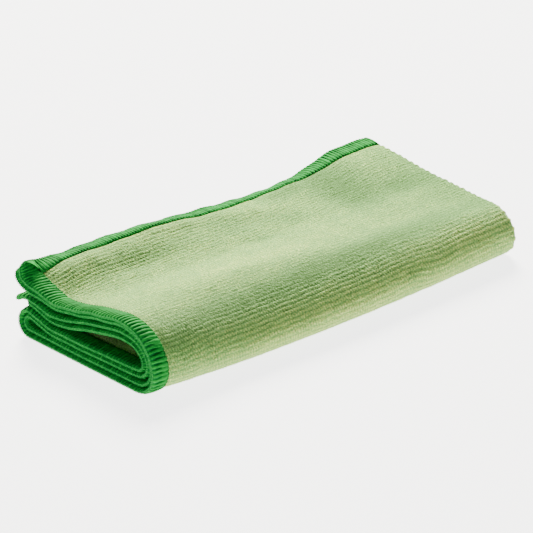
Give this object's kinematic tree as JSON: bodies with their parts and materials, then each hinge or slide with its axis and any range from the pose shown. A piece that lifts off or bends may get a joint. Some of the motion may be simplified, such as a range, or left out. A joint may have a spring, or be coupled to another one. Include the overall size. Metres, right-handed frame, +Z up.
{
  "type": "folded microfibre cloth",
  "caption": "Terry microfibre cleaning cloth with an overlocked hem, folded into a flat, slightly uneven stack.",
  "frame": {"origin": "middle of the folded cloth's underside, at the centre of its bounding box", "axes": "+X along the stack from the near hems to the far turn, +Y from the front folds to the back, +Z up through the layers"},
  "size_m": [0.2007, 0.1016, 0.0317],
  "materials": {
    "microfibre_terry": "short looped pile, matt"
  },
  "bodies": {
    "root": {"cloth": "microfibre_terry"}
  },
  "joints": []
}
